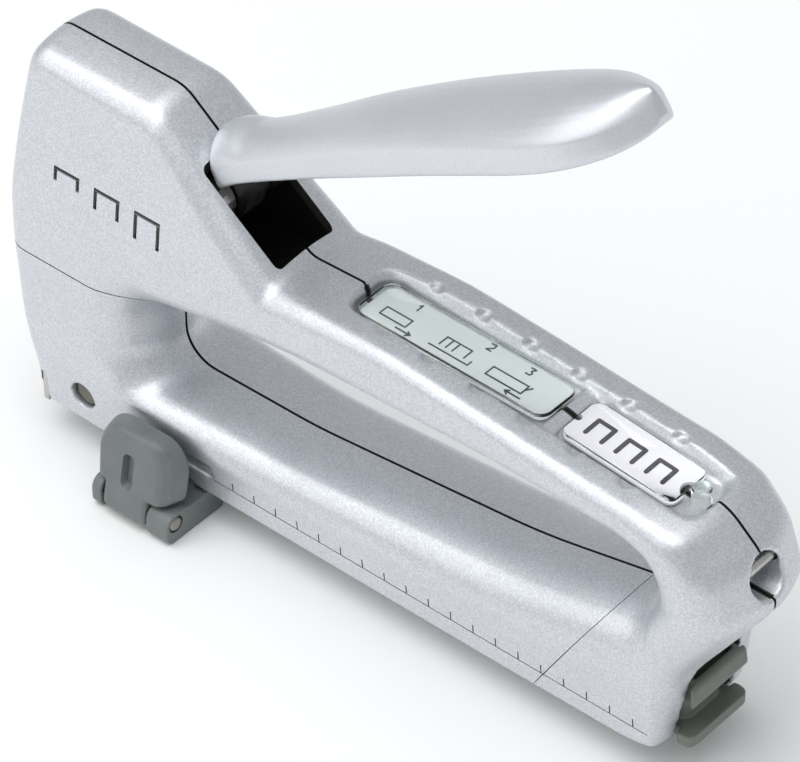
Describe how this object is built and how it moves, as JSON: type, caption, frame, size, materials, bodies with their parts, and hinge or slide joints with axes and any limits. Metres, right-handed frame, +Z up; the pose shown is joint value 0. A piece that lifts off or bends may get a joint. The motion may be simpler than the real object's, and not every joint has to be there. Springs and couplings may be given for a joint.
{
  "type": "staple gun",
  "caption": "Hand-squeezed staple gun with a cast casing, long top lever, finger opening, sliding magazine drawer with rear latch, and a swing-down side guide.",
  "frame": {"origin": "on the flat underside of the magazine channel, on the gun's centre plane, just behind the staple exit", "axes": "+X from the nose to the heel, +Y to the gun's right-hand side, +Z up, away from the work surface"},
  "size_m": [0.1625, 0.0372, 0.135],
  "materials": {
    "cast_shell": "silver-grey metallic paint with a fine sparkle",
    "lever_paint": "satin silver paint",
    "bright_steel": "plated spring steel",
    "dark_steel": "oiled dark steel",
    "guide_plastic": "fine-grained dark grey plastic",
    "latch_plastic": "dark grey-green plastic",
    "rubber": "matt",
    "card": "printed card",
    "clear_plastic": "clear, slightly green"
  },
  "bodies": {
    "housing": {"upper_shell_left": "cast_shell", "upper_shell_right": "cast_shell", "lower_shell_left": "cast_shell", "lower_shell_right": "cast_shell", "nose_plate": "bright_steel", "nose_pin": "bright_steel", "striker_pad": "rubber", "spring_cap": "bright_steel", "main_spring": "bright_steel", "lever_pin": "bright_steel", "pivot_washer_left": "bright_steel", "pivot_washer_right": "bright_steel", "magazine_channel": "bright_steel", "staple_strip": "bright_steel", "latch_pin": "bright_steel", "lanyard_bar": "bright_steel", "instruction_card": "card", "instruction_window": "clear_plastic", "name_card": "card", "name_window": "clear_plastic", "window_clip": "clear_plastic", "guide_bracket": "guide_plastic", "guide_pin": "bright_steel", "screw_nose": "bright_steel", "screw_grip_front": "bright_steel", "screw_grip_rear": "bright_steel", "screw_heel": "bright_steel", "screw_beam": "bright_steel"},
    "lever": {"lever_grip": "lever_paint", "lever_arm": "dark_steel", "lever_rivet_front": "bright_steel", "lever_rivet_rear": "bright_steel"},
    "striker": {"striker": "dark_steel", "driver_blade": "bright_steel"},
    "drawer": {"drawer_end": "latch_plastic", "pusher_rod": "bright_steel", "pusher_spring": "bright_steel"},
    "pusher": {"pusher": "latch_plastic"},
    "latch": {"latch_tab": "latch_plastic"},
    "guide_flap": {"guide_flap": "guide_plastic"}
  },
  "joints": [
    {"name": "lever_squeeze", "type": "hinge", "parent": "housing", "child": "lever", "pos_m": [0.03, 0, 0.06], "axis": [0, 1, 0], "range_deg": [0, 33], "stiffness_Nm_per_rad": 0.9, "springref_deg": -14.32},
    {"name": "striker_lift", "type": "slide", "parent": "housing", "child": "striker", "axis": [0, 0, 1], "range_m": [0, 0.0145], "deforming": ["main_spring"]},
    {"name": "drawer_slide", "type": "slide", "parent": "housing", "child": "drawer", "axis": [1, 0, 0], "range_m": [0, 0.065]},
    {"name": "pusher_slide", "type": "slide", "parent": "drawer", "child": "pusher", "axis": [1, 0, 0], "range_m": [0, 0.042], "stiffness_N_per_m": 40, "springref_m": -0.03, "deforming": ["pusher_spring"]},
    {"name": "latch_press", "type": "hinge", "parent": "housing", "child": "latch", "pos_m": [0.1286, 0, 0.0136], "axis": [0, 1, 0], "range_deg": [0, 7], "stiffness_Nm_per_rad": 0.3, "springref_deg": -5.73},
    {"name": "guide_swing", "type": "hinge", "parent": "housing", "child": "guide_flap", "pos_m": [0.0243, -0.0205, -0.0022], "axis": [1, 0, 0], "range_deg": [0, 90]}
  ],
  "couplings": [
    {"joint": "striker_lift", "follows": "lever_squeeze", "m_per_rad": 0.025}
  ]
}
